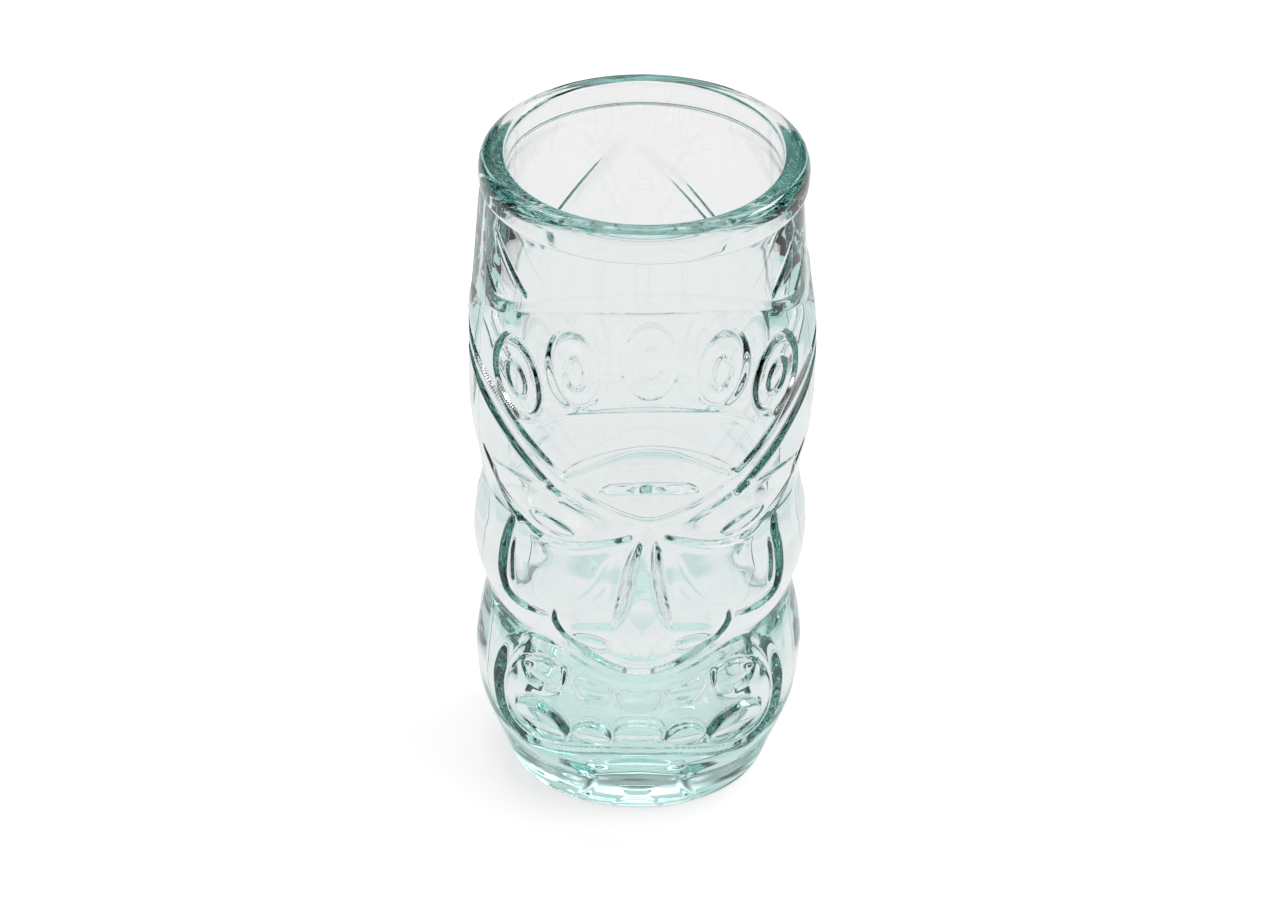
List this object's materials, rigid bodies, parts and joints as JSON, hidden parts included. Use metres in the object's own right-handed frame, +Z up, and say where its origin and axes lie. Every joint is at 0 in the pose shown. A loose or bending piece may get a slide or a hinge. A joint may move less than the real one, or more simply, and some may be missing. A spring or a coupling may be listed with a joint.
{
  "type": "tiki tumbler",
  "caption": "Tall pressed-glass tiki tumbler: a carved-style face in relief on the front, thick rounded lip, open cavity and a flat foot.",
  "frame": {"origin": "centre of the base, on the surface that the glass stands on", "axes": "+Z up along the glass, the face looks along -Y, +X to the right of somebody who looks at the face"},
  "size_m": [0.0834, 0.0834, 0.168],
  "materials": {
    "recycled_glass": "clear recycled glass with a pale sea-green tint, fire-polished, a little wavy"
  },
  "bodies": {
    "root": {"glass_tumbler": "recycled_glass"}
  },
  "joints": []
}
